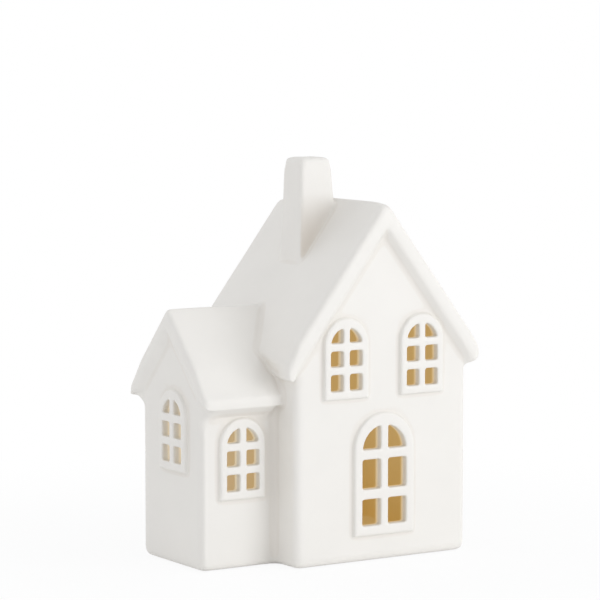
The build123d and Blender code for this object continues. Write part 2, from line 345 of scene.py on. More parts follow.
def grainGroup():
    # Colour and bump follow a coarse grain, the roughness a finer one
    tree, given, result = newGroup(
        "fineGrain",
        [("Vector", "Vector", None), ("Dark", "Color", (0.5, 0.5, 0.5, 1)),
         ("Light", "Color", (0.9, 0.9, 0.9, 1)), ("Coarse Scale", "Float", 500.0),
         ("Coarse Detail", "Float", 3.0), ("Coarse Roughness", "Float", 0.5),
         ("Fine Scale", "Float", 1500.0), ("Fine Detail", "Float", 3.0),
         ("Fine Roughness", "Float", 0.5), ("Fine Bump", "Float", 0.0),
         ("Roughness Low", "Float", 0.3), ("Roughness High", "Float", 0.5)],
        [("Color", "Color"), ("Roughness", "Float"), ("Height", "Float")])
    coarse, fine = [grainNoise(tree, given["Vector"], given[size + " Scale"],
                               given[size + " Detail"], given[size + " Roughness"])
                    for size in ("Coarse", "Fine")]
    wire(tree, blendColour(tree, coarse, given["Dark"], given["Light"]), result["Color"])
    wire(tree, spreadGrain(tree, fine, given["Roughness Low"], given["Roughness High"]),
         result["Roughness"])
    wire(tree, calc(tree, "ADD", coarse, calc(tree, "MULTIPLY", fine, given["Fine Bump"])),
         result["Height"])
    return tree


insideTheHouse = insideGroup()
glazeAndShade = glazeGroup()
fineGrain = grainGroup()
print("shader groups ready")


def makeCeramic():
    made, tree, shader = newMaterial("whiteCeramic", glaze["fixed"])
    point = objectPoint(tree)
    # mask of the painted shade in hollows and creases, from the cast body
    hollow = tree.nodes.new("ShaderNodeAttribute")
    hollow.attribute_name = "hollow"
    coat = useGroup(tree, glazeAndShade, Vector=point, Hollow=hollow.outputs["Fac"])
    inside = useGroup(tree, insideTheHouse, Vector=point)["Mask"]
    # painted light: the inside gets a golden base colour for the warm light inside
    wire(tree, blendColour(tree, inside, coat["Color"], glaze["insideLitColour"]),
         shader.inputs["Base Color"])
    geometry = tree.nodes.new("ShaderNodeNewGeometry")
    facing = splitVector(tree, geometry.outputs["True Normal"])
    spot = splitVector(tree, point)
    # painted light: the inside glows, brighter higher up, on faces that look up and toward the
    # annex
    lift = calc(tree, "MAXIMUM", remap(tree, spot["Z"], glaze["glowFrom"], glaze["glowTo"]),
                remap(tree, facing["Z"], *glaze["floorFacing"], 0.0, glaze["floorShare"]))
    glow = blendColour(tree, lift, glaze["glowLow"], glaze["glowHigh"])
    toAnnex = remap(tree, spot["X"], glaze["annexGlowFrom"], glaze["annexGlowTo"])
    glow = blendColour(tree, toAnnex, glow, glaze["annexGlow"], "ADD")
    # painted light on the edges of the openings; this peaks at 1 halfway the mask
    outside = calc(tree, "SUBTRACT", 1.0, inside)
    rim = calc(tree, "MULTIPLY", calc(tree, "MULTIPLY", inside, outside), 4.0)
    lit = blendColour(tree, inside, (0, 0, 0, 1), glow)
    wire(tree, blendColour(tree, rim, lit, glaze["rimGlow"], "ADD"),
         shader.inputs["Emission Color"])
    rougher = calc(tree, "MULTIPLY", inside, glaze["insideRoughness"])
    wire(tree, calc(tree, "ADD", coat["Roughness"], rougher), shader.inputs["Roughness"])
    wire(tree, bumpFrom(tree, coat["Height"], glaze["bump"]), shader.inputs["Normal"])
    return made


whiteCeramic = makeCeramic()

clay = {
    "voxel": 0.45 * mm,
    "soften": 40,            # rounds of smoothing
    "wallWeight": 0.25,
    "windowWeight": 0.03,
    "spread": 60,            # further rounds that tell hollows from edges
    "spreadWeight": 0.5,
    "hollowDepth": 0.5 * mm,  # a hollow this deep counts as 1
    "hollowCap": 0.35,
    "wobble": 0.1 * mm,      # how far the cast walls stray from flat
    "wobbleSize": 24.0,      # over this many millimetres
    "wobbleFoot": (mm, 6 * mm),  # it fades in between these levels
    "faces": 170000,
}
# The main ridge rounds off toward both ends, all in millimetres
ridge = {
    "rearRadius": 5.2,
    "rearFrom": 48.0,        # this far behind the front wall
    "frontRadius": 3.2,
    "frontTo": 8.0,
    "skin": 7.0,             # how deep the rounding reaches
    "chimneyDrop": 0.45,
    "chimneyEase": 12,
}
eaves = {
    "tuck": 0.55,            # share of the left eave's overhang that rounds away under it
    "tuckFade": 5,           # the tuck is gone at this many overhangs
    "tuckLevels": ((70, 78), (84, 92)),  # it fades in and out between these levels
    "tuckAlong": (1, 11),
    "annexSag": 2.5,         # how far the annex roof dips at its eaves
    "sagFrom": 21,
    "sagSkin": (8, 1.5),
    "sagOut": 3,
    "annexCove": (64.0, 69.0),  # the cove under the annex eave, from its foot to the soffit
    "coveOut": 4,
}
# painted shadow on the chimney's front, where the ridge shades its lower part
chimneyShadow = {
    "side": 0.5,
    "depth": 3,
    "strength": 0.75,
    "levels": (128, 168),
    "facing": (0.2, 0.9),
}
# Places smoothed more or less than the walls: two corners (across, along, level) in millimetres
# in the main block's own frame, and the weight
softSpots = [
    ("chimney top", (-30, 20, 165.0), (5, 60, 180), 0.9),
    ("chimney foot at the ridge", (-4.5, 20, 139), (3, 60, 151), 0.9),
    ("under the left eave", (-55, 5, 66), (-45.2, 18, 90), 0.09),
    ("left tail", (-53, -6, 74), (-43, 5, 93), 0.9),
    ("right tail", (43, -6, 74), (53, 5, 93), 0.9),
    ("valley", (-52, 6, 90), (-28, 50, 120), 0.6),
    ("annex eave edge", (-100, -3, 73.0), (-45, 18, 84), 0.07),
    ("annex eave foot", (-100, -3, 60), (-47, 18, 71.5), 0.9),
    ("foot", (-100, -10, -1), (60, 100, 3), 0.5),
]
cutting = {
    "margin": 0.7,           # how far a cut keeps off the faces beside it
    "windowMargin": 0.84,
    "windowAhead": 2,        # how far the cutters stand out before the surrounds
    "gableWindowAhead": 4,
    "archSteps": 40,
    "chimneyAside": 3,
    "chimneyAlong": 4,
    "chimneyOver": 3,
    "roofBeyond": 8,
    "wallBeyond": 20,
    "far": 200,
    "below": -5,
    "weld": 0.002 * mm,
    "crumb": 20 * mm * mm,   # closed loose bits with less surface than this are dropped
    "sheet": 80 * mm * mm,   # the same for open ones
}
clayNodes = [name for name in frame["nodes"] if not name.startswith(("tealight", "wick"))]
windowNodes = [name for name in clayNodes if name.endswith("window")]


def readAll(items, field, width, kind=float):
    # One value per item, or a row of them
    values = np.empty(len(items) * width, kind)
    items.foreach_get(field, values)
    return values if width == 1 else values.reshape(-1, width)


def readPoints(mesh):
    return readAll(mesh.vertices, "co", 3)


def addObject(name, mesh):
    made = bpy.data.objects.new(name, mesh)
    bpy.context.scene.collection.objects.link(made)
    return made


def meshFrom(made, name):
    mesh = bpy.data.meshes.new(name)
    made.to_mesh(mesh)
    made.free()
    return mesh


def applied(source):
    # The mesh that an object's modifiers give
    graph = bpy.context.evaluated_depsgraph_get()
    return bpy.data.meshes.new_from_object(source.evaluated_get(graph))


def relax(points, ends, weights, rounds):
    # Moves each point toward the middle of its neighbours
    first, second = ends.T
    count = np.bincount(ends.ravel(), minlength=len(points))[:, None]
    for _ in range(rounds):
        total = np.stack([np.bincount(first, points[second, axis], len(points))
                          + np.bincount(second, points[first, axis], len(points))
                          for axis in range(3)], 1)
        points = points + weights * (total / count - points)
    return points


def easeStep(values, low, high):
    t = np.clip((values - low) / (high - low), 0, 1)
    return t * t * (3 - 2 * t)


def nearWindows(points, margin):
    # True for the points in a window's box
    found = np.zeros(len(points), bool)
    for name in windowNodes:
        low, high = (np.array(corner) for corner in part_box(name))
        found |= ((points > low - margin) & (points < high + margin)).all(1)
    return found


def castClay():
    # All the ceramic as one cast body, with the joins run together as in the mould
    joined = bmesh.new()
    for name in clayNodes:
        joined.from_mesh(frame["nodes"][name].data)
    cast = addObject("cast", meshFrom(joined, "cast"))
    remesh = cast.modifiers.new("fuse", "REMESH")
    remesh.mode = "VOXEL"
    remesh.voxel_size = clay["voxel"]
    fused = applied(cast)
    bpy.data.objects.remove(cast)
    print("cast body:", len(fused.polygons), "faces")
    points, ends = readPoints(fused), readAll(fused.edges, "vertices", 2, np.int32)
    points = shapeEaves(roundRidge(points))
    points = relax(points, ends, softness(points)[:, None], clay["soften"])
    fused.vertices.foreach_set("co", points.ravel())
    normals = readAll(fused.vertex_normals, "vector", 3)
    spread = relax(points, ends, clay["spreadWeight"], clay["spread"])
    # how deep each point lies in a hollow; this drives the painted crease shade
    hollow = np.einsum("ij,ij->i", spread - points, normals) / clay["hollowDepth"]
    # the chimney's painted shadow joins the painted crease shade
    hollow = np.maximum(np.minimum(hollow, clay["hollowCap"]), chimneyShade(points, normals))
    points = points + normals * wobble(points)[:, None]
    points = np.clip(points, np.array(cadBox[0]), np.array(cadBox[1]))
    fused.vertices.foreach_set("co", points.ravel())
    fused.update()
    return fused, hollow


def inBlock(points):
    # The same points in millimetres in the main block's own frame
    return points / mm - np.array([mainBlock["ridgeAt"], mainBlock["start"], 0])


def softness(points):
    weights = np.full(len(points), clay["wallWeight"])
    own = inBlock(points)
    for _, low, high, weight in softSpots:
        weights[((own > np.array(low)) & (own < np.array(high))).all(1)] = weight
    weights[nearWindows(points, mm)] = clay["windowWeight"]
    return weights


def chimneyShade(points, normals):
    # Painted shadow on the front of the chimney, darker down to its foot, where the ridge shades
    # it
    low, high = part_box("chimney")
    own = inBlock(points)
    left = low.x / mm - mainBlock["ridgeAt"] - chimneyShadow["side"]
    right = high.x / mm - mainBlock["ridgeAt"] + chimneyShadow["side"]
    front = low.y / mm - mainBlock["start"]
    near = ((own[:, 0] > left) & (own[:, 0] < right)
            & (np.abs(own[:, 1] - front) < chimneyShadow["depth"]))
    shadeAmount = chimneyShadow["strength"] * (1 - easeStep(own[:, 2], *chimneyShadow["levels"]))
    return near * shadeAmount * easeStep(-normals[:, 1], *chimneyShadow["facing"])


def shapeEaves(points):
    # The left eave rounds away underneath, and the annex roof dips at its eaves
    own = inBlock(points)
    out = -own[:, 0] - mainBlock["half"]
    reach = mainBlock["reach"] - mainBlock["half"]
    share = np.minimum(out, reach) * (1 - easeStep(out, reach, eaves["tuckFade"] * reach))
    lower, upper = eaves["tuckLevels"]
    level = (1 - easeStep(own[:, 2], *upper)) * easeStep(own[:, 2], *lower)
    tuck = eaves["tuck"] * np.maximum(share, 0) * level * easeStep(own[:, 1], *eaves["tuckAlong"])
    side = points[:, 1] / mm - annexBlock["ridgeAt"]
    off = np.abs(side)
    slope = annexBlock["ridge"] - off * annexBlock["rise"]
    deep, shallow = eaves["sagSkin"]
    skin = easeStep(own[:, 2], slope - deep, slope - shallow)
    sag = (eaves["annexSag"] * easeStep(off, eaves["sagFrom"], annexBlock["reach"]) * skin
           * easeStep(out, 0, eaves["sagOut"]))
    cove = annexBlock["half"] + ((annexBlock["reach"] - annexBlock["half"])
                                 * easeStep(own[:, 2], *eaves["annexCove"]))
    outer = ((off > annexBlock["half"] - 1) & (off < cove)
             & (own[:, 2] < annexBlock["eaveFoot"] + 1) & (out > 1))
    push = np.where(outer, cove - off, 0) * easeStep(out, 0, eaves["coveOut"]) * np.sign(side)
    moved = points.copy()
    moved[:, 0] += tuck * mm
    moved[:, 1] += push * mm
    moved[:, 2] -= sag * mm
    return moved


def roundRidge(points):
    # The ridge of the main roof rounds off at both ends, and the chimney ends a little lower
    across = np.abs(points[:, 0] / mm - mainBlock["ridgeAt"])
    along = points[:, 1] / mm - mainBlock["start"]
    level = points[:, 2] / mm
    toRear = easeStep(along, ridge["rearFrom"], mainBlock["length"])
    toFront = 1 - easeStep(along, -mainBlock["overhang"], ridge["frontTo"])
    radius = ridge["rearRadius"] * toRear + ridge["frontRadius"] * toFront
    radius = np.maximum(radius, 1e-6)
    slope = mainBlock["ridge"] - across * mainBlock["rise"]
    arc = (mainBlock["ridge"] - radius / mainBlock["lean"]
           + np.sqrt(np.clip(radius ** 2 - across ** 2, 0, None)))
    touch = radius * math.sin(math.radians(mainBlock["angle"]))
    drop = np.where(across < touch, slope - arc, 0)
    skin = easeStep(level, slope - ridge["skin"], slope)
    stack = mainBlock["ridge"] + 1
    chimney = ((level > stack) * easeStep(level, stack, stack + ridge["chimneyEase"])
               * ridge["chimneyDrop"])
    moved = points.copy()
    moved[:, 2] -= (np.where(level < stack, drop * skin, 0) + chimney) * mm
    return moved


def wobble(points):
    # Slow unevenness of a slip-cast wall, none at the foot
    size = clay["wobbleSize"] * mm
    values = np.array([noise.noise(Vector(p) / size) for p in points])
    return values * clay["wobble"] * easeStep(points[:, 2], *clay["wobbleFoot"])


def thinned(mesh):
    # Fewer faces where the surface is flat
    source = addObject("thinning", mesh)
    reduce = source.modifiers.new("thin", "DECIMATE")
    reduce.ratio = clay["faces"] / (2 * len(mesh.polygons))
    result = applied(source)
    bpy.data.objects.remove(source)
    return result


def prism(outline, low, high, toWorld):
    # Closed prism over an outline of (across, level), between two lengths along the ridge
    made = bmesh.new()
    ends = [[made.verts.new(toWorld(across, along, level)) for across, level in outline]
            for along in (low, high)]
    for ring in ends:
        made.faces.new(ring)
    for i in range(len(outline)):
        j = (i + 1) % len(outline)
        made.faces.new((ends[0][i], ends[0][j], ends[1][j], ends[1][i]))
    bmesh.ops.triangulate(made, faces=made.faces, ngon_method="EAR_CLIP")
    bmesh.ops.recalc_face_normals(made, faces=made.faces)
    # the second material tells the faces of a cut from the cast surface
    for face in made.faces:
        face.material_index = 1
    return meshFrom(made, "cutter")


def blockBox(low, high):
    # The same for a box between two corners in the main block's own frame
    outline = [(low[0], low[2]), (high[0], low[2]), (high[0], high[2]), (low[0], high[2])]
    return prism(outline, low[1], high[1], mainPlace)


def carve(rest, cutter):
    # Splits a mesh into what lies inside the cutter and what lies outside it
    target, tool = addObject("carved", rest), addObject("tool", cutter)
    results = []
    for operation in ("INTERSECT", "DIFFERENCE"):
        cut = target.modifiers.new("cut", "BOOLEAN")
        cut.solver = "MANIFOLD"
        cut.object = tool
        cut.operation = operation
        results.append(applied(target))
        target.modifiers.clear()
    bpy.data.objects.remove(target)
    bpy.data.objects.remove(tool)
    return results


def roofBand(block, grown):
    # Outline of a saddle roof, grown by the margin so that no cut runs along its own faces
    over = block["reach"] + grown
    half = [(over, underSlope(block, over, -grown)), (over, block["eaveFoot"] - grown),
            (block["half"], block["wallHeight"] - grown)]
    top = [(0, underSlope(block, 0, -grown))]
    under = [(0, underSlope(block, 0, block["root"] + grown))]
    return top + half + under + [(-across, level) for across, level in reversed(half)]


def windowOutline(width, height, middle, foot):
    # Arched outline of a window's surround, grown by its margin
    grown = cutting["windowMargin"]
    radius = width / 2 + grown
    spring = foot + height - width / 2
    steps = cutting["archSteps"]
    head = [(middle + radius * math.cos(math.pi * i / steps),
             spring + radius * math.sin(math.pi * i / steps)) for i in range(steps + 1)]
    return [(middle - radius, foot - grown), (middle + radius, foot - grown)] + head


def windowCutter(name):
    low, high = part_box(name)
    size = high - low
    if name == "annex_gable_window":
        middle = (low.y + high.y) / 2 / mm - annexBlock["ridgeAt"]
        outline = windowOutline(size.y / mm, size.z / mm, middle, low.z / mm)
        end = high.x / mm - annexBlock["start"] + cutting["margin"]
        return prism(outline, -cutting["gableWindowAhead"], end, annexPlace)
    middle = (low.x + high.x) / 2 / mm - mainBlock["ridgeAt"]
    outline = windowOutline(size.x / mm, size.z / mm, middle, low.z / mm)
    start = low.y / mm - mainBlock["start"] - cutting["windowAhead"]
    end = high.y / mm - mainBlock["start"] + cutting["margin"]
    return prism(outline, start, end, mainPlace)


def chimneyCutter():
    # From just above the main roof's left slope to over the chimney's top
    low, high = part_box("chimney")
    left = low.x / mm - mainBlock["ridgeAt"] - cutting["chimneyAside"]
    right = high.x / mm - mainBlock["ridgeAt"] + cutting["chimneyAside"]
    top = high.z / mm + cutting["chimneyOver"]
    outline = [(left, top), (left, underSlope(mainBlock, left, -cutting["margin"])),
               (right, underSlope(mainBlock, right, -cutting["margin"])), (right, top)]
    start = low.y / mm - mainBlock["start"] - cutting["chimneyAlong"]
    end = high.y / mm - mainBlock["start"] + cutting["chimneyAlong"]
    return prism(outline, start, end, mainPlace)


def splitClay(rest):
    # Cuts the cast body into its named pieces, along the lines where the real ones meet
    grown, far, below = cutting["margin"], cutting["far"], cutting["below"]
    past, over = cutting["wallBeyond"], cutting["roofBeyond"]
    half = mainBlock["half"]
    inner = wallThickness + grown
    depth = mainBlock["length"]
    annexStart = annexBlock["start"] - mainBlock["ridgeAt"]
    annexFront = annexBlock["ridgeAt"] - annexBlock["half"] - mainBlock["start"]
    annexRear = annexBlock["ridgeAt"] + annexBlock["half"] - mainBlock["start"]
    mainBand, annexBand = roofBand(mainBlock, grown), roofBand(annexBlock, grown)
    cutters = [(name, windowCutter(name)) for name in windowNodes]
    cutters += [
        ("chimney", chimneyCutter()),
        ("main_roof", prism(mainBand, -over, depth + over, mainPlace)),
        ("annex_roof", prism(annexBand, -over, -annexStart, annexPlace)),
    ]
    # each wall's cutter: from and to across, from and to along
    for name, left, right, start, end in (
            ("front_wall", -far, far, -past, inner),
            ("rear_wall", -far, far, depth - inner, depth + past),
            ("right_wall", half - inner, far, -past, far),
            ("annex_gable_wall", -far, annexStart + inner, -past, far),
            ("annex_front_wall", -far, -half - grown, -past, annexFront + inner),
            ("left_front_wall", -far, -half + inner, -past, annexFront + inner),
            ("annex_rear_wall", -far, -half - grown, annexRear - inner, far),
            ("left_rear_wall", -far, -half + inner, annexRear - inner, far)):
        cutters.append((name, blockBox((left, start, below), (right, end, far))))
    pieces = {}
    for name, cutter in cutters:
        pieces[name], rest = carve(rest, cutter)
    pieces["floor"] = rest
    return pieces


def withoutCrumbs(mesh):
    # Drops the slivers and small loose bits that the cuts leave
    made = bmesh.new()
    made.from_mesh(mesh)
    bmesh.ops.remove_doubles(made, verts=made.verts, dist=cutting["weld"])
    bmesh.ops.dissolve_degenerate(made, dist=cutting["weld"], edges=made.edges)
    bmesh.ops.triangulate(made, faces=[face for face in made.faces if len(face.verts) > 3])
    seen, crumbs = set(), []
    for first in made.faces:
        if first in seen:
            continue
        seen.add(first)
        island, queue = [], [first]
        while queue:
            face = queue.pop()
            island.append(face)
            for edge in face.edges:
                if len(edge.link_faces) != 2:
                    continue
                for other in edge.link_faces:
                    if other not in seen:
                        seen.add(other)
                        queue.append(other)
        isClosed = all(len(edge.link_faces) == 2 for face in island for edge in face.edges)
        limit = cutting["crumb"] if isClosed else cutting["sheet"]
        if sum(face.calc_area() for face in island) < limit:
            crumbs += island
    bmesh.ops.delete(made, geom=crumbs, context="FACES")
    loose = [vert for vert in made.verts if not vert.link_faces]
    bmesh.ops.delete(made, geom=loose, context="VERTS")
    made.to_mesh(mesh)
    made.free()


def barycentric(spots, triangles):
    # Weights of the three corners of each triangle at a point on it
    def dot(u, v):
        return np.einsum("ij,ij->i", u, v)

    a, b, c = triangles[:, 0], triangles[:, 1], triangles[:, 2]
    ab, ac, ap = b - a, c - a, spots - a
    bb, bc, cc, pb, pc = dot(ab, ab), dot(ab, ac), dot(ac, ac), dot(ap, ab), dot(ap, ac)
    area = np.maximum(bb * cc - bc * bc, 1e-24)
    v = np.clip((cc * pb - bc * pc) / area, 0, 1)
    w = np.clip((bb * pc - bc * pb) / area, 0, 1)
    return np.stack([1 - v - w, v, w], 1)


def storeSurface(mesh, hollow):
    # The cast body's surface, from which the pieces take their normals and the painted shade mask
    # of hollows and creases
    points = readPoints(mesh)
    normals = readAll(mesh.vertex_normals, "vector", 3)
    mesh.calc_loop_triangles()
    corners = readAll(mesh.loop_triangles, "vertices", 3, np.int32)
    tree = BVHTree.FromPolygons(points.tolist(), corners.tolist(), all_triangles=True)
    return {"points": points, "normals": normals, "corners": corners, "hollow": hollow,
            "tree": tree}


def finishClay(name, mesh, surface):
    # Smooth normals and the painted shade mask come from the cast surface, so no seam shows
    # between pieces
    withoutCrumbs(mesh)
    found = [surface["tree"].find_nearest(Vector(p)) for p in readPoints(mesh)]
    index = np.array([item[2] for item in found])
    spots = np.array([item[0] for item in found])
    triangle = surface["corners"][index]
    weights = barycentric(spots, surface["points"][triangle])
    smooth = np.einsum("ij,ijk->ik", weights, surface["normals"][triangle])
    smooth /= np.maximum(np.linalg.norm(smooth, axis=1), 1e-9)[:, None]
    # the painted shade mask, carried over to this piece
    values = np.einsum("ij,ij->i", weights, surface["hollow"][triangle])
    own = mesh.attributes.new("hollow", "FLOAT", "POINT")
    own.data.foreach_set("value", values.astype(np.float32))
    loops = readAll(mesh.loops, "vertex_index", 1, np.int32)
    cuts = readAll(mesh.polygons, "material_index", 1, np.int32)
    sizes = readAll(mesh.polygons, "loop_total", 1, np.int32)
    flat = readAll(mesh.polygon_normals, "vector", 3)
    isCut = np.repeat(cuts > 0, sizes)
    given = np.where(isCut[:, None], np.repeat(flat, sizes, 0), smooth[loops])
    mesh.polygons.foreach_set("material_index", np.zeros(len(cuts), np.int32))
    mesh.polygons.foreach_set("use_smooth", np.ones(len(cuts), bool))
    mesh.materials.clear()
    mesh.materials.append(whiteCeramic)
    mesh.normals_split_custom_set(given)
    piece = addObject("glazed_" + name, mesh)
    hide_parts(name)
    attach(piece, "house")
    print("glazed", name, len(mesh.polygons), "faces,", int((cuts > 0).sum()), "on cuts")


castMesh, castHollow = castClay()
castSurface = storeSurface(castMesh, castHollow)
print("cast surface stored")
thinMesh = thinned(castMesh)
print("thinned to", len(thinMesh.polygons), "faces")
for pieceName, pieceMesh in splitClay(thinMesh).items():
    finishClay(pieceName, pieceMesh, castSurface)


cupLow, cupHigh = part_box("tealight_cup")
tealightMiddle = Vector(((cupLow.x + cupHigh.x) / 2, (cupLow.y + cupHigh.y) / 2, cupLow.z))
cupHeight = (cupHigh.z - cupLow.z) / mm


def finishTealight(name, made):
    # Turns the built faces into a smooth object
    bmesh.ops.recalc_face_normals(made, faces=made.faces)
    mesh = meshFrom(made, name)
    mesh.polygons.foreach_set("use_smooth", np.ones(len(mesh.polygons), bool))
    return addObject(name, mesh)


def lathe(name, profile, steps, ripple=None):
    # Turns an outline of (radius, level) in millimetres about the tealight's axis
    made = bmesh.new()
    rings = []
    for radius, level in profile:
        if radius == 0:
            rings.append([made.verts.new(tealightMiddle + Vector((0, 0, level)) * mm)] * steps)
            continue
        ring = []
        for i in range(steps):
            angle = 2 * math.pi * i / steps
            r = radius + (ripple(radius, level, angle) if ripple else 0)
            ring.append(made.verts.new(
                tealightMiddle + Vector((r * math.cos(angle), r * math.sin(angle), level)) * mm))
        rings.append(ring)
    for lower, upper in zip(rings, rings[1:]):
        for i in range(steps):
            j = (i + 1) % steps
            corners = []
            for vert in (lower[i], lower[j], upper[j], upper[i]):
                if vert not in corners:
                    corners.append(vert)
            if len(corners) > 2:
                made.faces.new(corners)
    return finishTealight(name, made)


def arcPoints(middle, radius, start, end, steps):
    angles = [math.radians(start + (end - start) * i / steps) for i in range(steps + 1)]
    return [(middle[0] + radius * math.cos(angle), middle[1] + radius * math.sin(angle))
            for angle in angles]


def grainyMaterial(name, look):
    made, tree, shader = newMaterial(name, look["fixed"])
    grain = useGroup(tree, fineGrain, Vector=objectPoint(tree), **look["grain"])
    wire(tree, grain["Color"], shader.inputs["Base Color"])
    wire(tree, grain["Roughness"], shader.inputs["Roughness"])
    wire(tree, bumpFrom(tree, grain["Height"], look["bump"]), shader.inputs["Normal"])
    return made


def place(piece, node, material):
    piece.data.materials.clear()
    piece.data.materials.append(material)
    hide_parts(node)
    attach(piece, frame["nodes"][node]["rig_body"])


# Lengths of the tealight's pieces are in millimetres, outlines are (radius, level)
cup = {
    "sheet": 0.35,
    "foot": 18.0,
    "bend": 0.8,             # the side rises from this level
    "baseUnder": [(0, 0.45), (9.0, 0.45), (9.8, 0.0)],
    "baseOver": [(10.0, 0.4), (9.2, 0.8), (0, 0.8)],
    "sideSteps": (0.15, 0.3, 0.45, 0.6, 0.75, 0.88, 0.97),
    "rimRadius": 0.6,
    "rimArc": (-60, 200, 12),
    "pleats": 48,
    "pleatDepth": 0.16,
    "pleatFrom": 15,         # only the side is pleated
    "pleatShort": 2.5,       # the pleated part is this much shorter than the cup
    "steps": 192,
    "look": {
        "fixed": {"Metallic": 1.0, "Roughness": 0.3},
        "grain": {"Dark": (0.78, 0.79, 0.8, 1), "Light": (0.9, 0.9, 0.91, 1),
                  "Coarse Scale": 260.0, "Fine Scale": 2600.0, "Fine Detail": 2.0,
                  "Roughness Low": 0.24, "Roughness High": 0.36},
        "bump": 0.05 * mm,
    },
}


def makeCup():
    # Thin drawn cup: rolled rim, pleated side and a stamped ring in its base
    sheet, foot, bend = cup["sheet"], cup["foot"], cup["bend"]
    top = (cupHigh.x - cupLow.x) / 2 / mm - cup["rimRadius"]
    level = cupHeight - cup["rimRadius"]
    outside = cup["baseUnder"] + [(foot - 0.8, 0.0), (foot - 0.2, 0.2), (foot, bend)]
    side = [(foot + (top - foot) * t, bend + (level - bend) * t) for t in cup["sideSteps"]]
    roll = arcPoints((top, level), cup["rimRadius"], *cup["rimArc"])
    inside = [(r - sheet, z) for r, z in reversed(side)]
    base = [(foot - sheet, bend + sheet), (foot - 1.2, 0.4)] + cup["baseOver"]

    def pleat(radius, level, angle):
        if radius <= cup["pleatFrom"]:
            return 0
        share = min(max((level - bend) / (cupHeight - cup["pleatShort"]), 0), 1)
        wave = 0.5 + 0.5 * math.cos(cup["pleats"] * angle)
        return -cup["pleatDepth"] * math.sin(math.pi * share) ** 0.5 * wave ** 2

    return lathe("rolled_cup", outside + side + roll + inside + base, cup["steps"], pleat)


wax = {
    "below": 2.2,            # how far the wax stays under the rim
    "meniscus": 0.7,
    "foot": 17.5,
    "base": 1.0,
    "taperFrom": 0.8,
    "taper": 0.045,
    "steps": 96,
    "look": {
        "fixed": {"Roughness": 0.4, "Subsurface Weight": 0.2, "Subsurface Radius": (1.2, 0.9, 0.6),
                  "Subsurface Scale": 1.5 * mm},
        "grain": {"Dark": (0.86, 0.83, 0.76, 1), "Light": (0.93, 0.91, 0.86, 1),
                  "Coarse Scale": 180.0, "Coarse Detail": 4.0, "Coarse Roughness": 0.6,
                  "Fine Scale": 900.0, "Fine Roughness": 0.6, "Fine Bump": 0.3,
                  "Roughness Low": 0.34, "Roughness High": 0.52},
        "bump": 0.12 * mm,
    },
}


def makeWaxDisc():
    # Poured wax: it clings to the cup and climbs a little up the wick
    level, dip, foot = cupHeight - wax["below"], wax["meniscus"], wax["foot"]
    top = foot + (level - wax["taperFrom"]) * wax["taper"]
    profile = [(0, wax["base"]), (foot - 0.6, wax["base"]), (foot, wax["base"] + 0.5),
               (top, level - 0.2), (top - 0.1, level), (top - 0.5, level - dip * 0.5),
               (top - 1.4, level - dip * 0.85), (top - 3.0, level - dip), (9.0, level - dip),
               (4.0, level - dip * 0.9), (1.9, level - 0.3), (1.1, level + 0.25),
               (0, level + 0.3)]
    return lathe("poured_wax", profile, wax["steps"])


wick = {
    "radius": 0.85,
    "strands": 3,
    "turns": 5,
    "orbit": 0.45,           # shares of the radius
    "strand": 0.52,
    "tipFrom": 0.93,         # the strands thin over the last part of their length
    "tipLength": 0.07,
    "tipLoss": 0.35,
    "steps": 60,
    "sides": 10,
    "look": {
        "fixed": {"Roughness": 0.85, "Sheen Weight": 0.2},
        "grain": {"Dark": (0.72, 0.68, 0.58, 1), "Light": (0.92, 0.9, 0.84, 1),
                  "Coarse Scale": 2400.0, "Coarse Roughness": 0.7,
                  "Fine Scale": 2400.0, "Fine Roughness": 0.7,
                  "Roughness Low": 0.75, "Roughness High": 0.95},
        "bump": 0.08 * mm,
    },
}


def makeWick():
    # Plied strands that thin at the tip
    low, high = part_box("tealight_wick")
    length, foot = (high.z - low.z) / mm, (low.z - cupLow.z) / mm
    orbit = wick["radius"] * wick["orbit"]
    steps, sides = wick["steps"], wick["sides"]
    around = [2 * math.pi * k / sides for k in range(sides)]
    made = bmesh.new()
    for strand in range(wick["strands"]):
        rings = []
        for i in range(steps + 1):
            t = i / steps
            turn = 2 * math.pi * (wick["turns"] * t + strand / wick["strands"])
            middle = Vector((orbit * math.cos(turn), orbit * math.sin(turn), length * t + foot))
            tip = max(0, t - wick["tipFrom"]) / wick["tipLength"]
            radius = wick["radius"] * wick["strand"] * (1 - wick["tipLoss"] * tip)
            spots = [middle + Vector((radius * math.cos(angle), radius * math.sin(angle), 0))
                     for angle in around]
            rings.append([made.verts.new(tealightMiddle + spot * mm) for spot in spots])
        for lower, upper in zip(rings, rings[1:]):
            for k in range(sides):
                j = (k + 1) % sides
                made.faces.new((lower[k], lower[j], upper[j], upper[k]))
        made.faces.new(rings[0][::-1])
        made.faces.new(rings[-1])
    return finishTealight("plied_wick", made)


sustainer = {
    "sheet": 0.4,
    "neck": 1.4,
    "pinch": 0.2,
    "pinchFrom": 1.2,        # the neck is pinched above this level
    "steps": 48,
    "look": {
        "fixed": {"Metallic": 1.0, "Roughness": 0.35},
        "grain": {"Dark": (0.5, 0.5, 0.5, 1), "Light": (0.66, 0.66, 0.65, 1),
                  "Coarse Scale": 1500.0, "Coarse Detail": 2.0,
                  "Fine Scale": 1500.0, "Fine Detail": 2.0,
                  "Roughness Low": 0.28, "Roughness High": 0.44},
        "bump": 0.02 * mm,
    },
}


